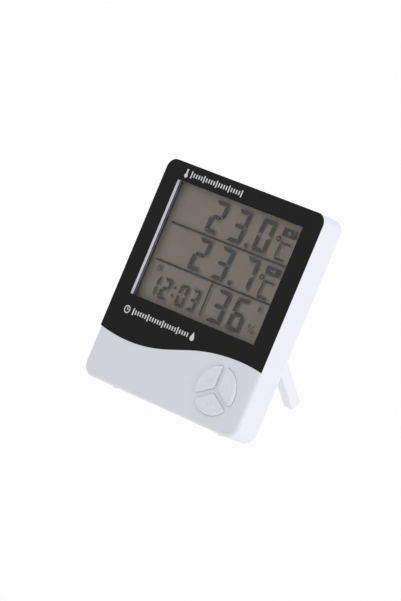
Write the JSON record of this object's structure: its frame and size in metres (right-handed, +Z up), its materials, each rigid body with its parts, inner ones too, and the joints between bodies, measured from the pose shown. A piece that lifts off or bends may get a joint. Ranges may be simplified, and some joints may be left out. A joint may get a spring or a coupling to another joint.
{
  "type": "thermometer hygrometer clock",
  "caption": "Table clock with temperatures, humidity and time on a display, sector keys, fold-out leg, battery bay and probe socket.",
  "frame": {"origin": "on the table, under the middle of the whole clock as it stands on its opened leg", "axes": "+X to the right seen from the front, +Y from the front to the back, +Z up; the case leans back by 29 degrees"},
  "size_m": [0.1, 0.0654, 0.1008],
  "materials": {
    "white_shell": "fine satin moulded",
    "black_film": "satin printed film",
    "clear_pane": "clear",
    "pale_frame": "matt",
    "display_glass": "clear",
    "grey_reflector": "matt",
    "contact_rubber": "soft",
    "green_board": "lacquered",
    "black_resin": "semi matt",
    "bare_steel": "bright",
    "bead_epoxy": "glossy",
    "sensor_white": "matt",
    "capacitor_sleeve": "shrunk film",
    "buzzer_brass": "bright",
    "keypad_silicone": "soft",
    "white_key": "fine satin moulded",
    "carbon_pill": "matt",
    "jack_black": "moulded",
    "white_leg": "fine satin moulded",
    "cell_jacket": "printed sleeve over steel",
    "plated_steel": "plated",
    "screw_steel": "zinc plated",
    "rubber_foot": "matt"
  },
  "bodies": {
    "case": {"front_case": "white_shell", "rear_case": "white_shell", "face_film": "black_film", "window_lens": "clear_pane", "lcd_frame": "pale_frame", "lcd_front_glass": "display_glass", "lcd_rear_glass": "display_glass", "lcd_reflector": "grey_reflector", "zebra_strip": "contact_rubber", "main_board": "green_board", "chip_blob": "black_resin", "crystal_can": "bare_steel", "thermistor_bead": "bead_epoxy", "humidity_sensor": "sensor_white", "capacitor": "capacitor_sleeve", "buzzer": "buzzer_brass", "keypad_sheet": "keypad_silicone", "probe_jack": "jack_black", "battery_cell": "cell_jacket", "battery_spring": "plated_steel", "battery_plate": "plated_steel", "case_screws": "screw_steel", "board_screws": "screw_steel", "foot_pads": "rubber_foot"},
    "leg": {"stand_leg": "white_leg"},
    "mode_key": {"key_mode": "white_key", "pill_mode": "carbon_pill"},
    "adjust_key": {"key_adjust": "white_key", "pill_adjust": "carbon_pill"},
    "memory_key": {"key_memory": "white_key", "pill_memory": "carbon_pill"},
    "unit_switch": {"unit_key": "white_key", "pill_unit": "carbon_pill"},
    "reset_switch": {"reset_key": "white_key", "pill_reset": "carbon_pill"},
    "door": {"battery_door": "white_shell"}
  },
  "joints": [
    {"name": "leg_hinge", "type": "hinge", "parent": "case", "child": "leg", "pos_m": [0.03, 0.00517, 0.04727], "axis": [1, 0, 0], "range_deg": [-53.1, 0]},
    {"name": "mode_press", "type": "slide", "parent": "case", "child": "mode_key", "axis": [0, 0.8717, -0.4901], "range_m": [0, 0.0008], "stiffness_N_per_m": 400, "springref_m": -0.0005},
    {"name": "adjust_press", "type": "slide", "parent": "case", "child": "adjust_key", "axis": [0, 0.8717, -0.4901], "range_m": [0, 0.0008], "stiffness_N_per_m": 400, "springref_m": -0.0005},
    {"name": "memory_press", "type": "slide", "parent": "case", "child": "memory_key", "axis": [0, 0.8717, -0.4901], "range_m": [0, 0.0008], "stiffness_N_per_m": 400, "springref_m": -0.0005},
    {"name": "unit_press", "type": "slide", "parent": "case", "child": "unit_switch", "axis": [0, -0.8717, 0.4901], "range_m": [0, 0.00045], "stiffness_N_per_m": 400, "springref_m": -0.0005},
    {"name": "reset_press", "type": "slide", "parent": "case", "child": "reset_switch", "axis": [0, -0.8717, 0.4901], "range_m": [0, 0.00045], "stiffness_N_per_m": 400, "springref_m": -0.0005},
    {"name": "door_hinge", "type": "hinge", "parent": "case", "child": "door", "pos_m": [-0.0432, -0.01183, 0.01438], "axis": [0, 0.4901, 0.8717], "range_deg": [0, 30]}
  ]
}
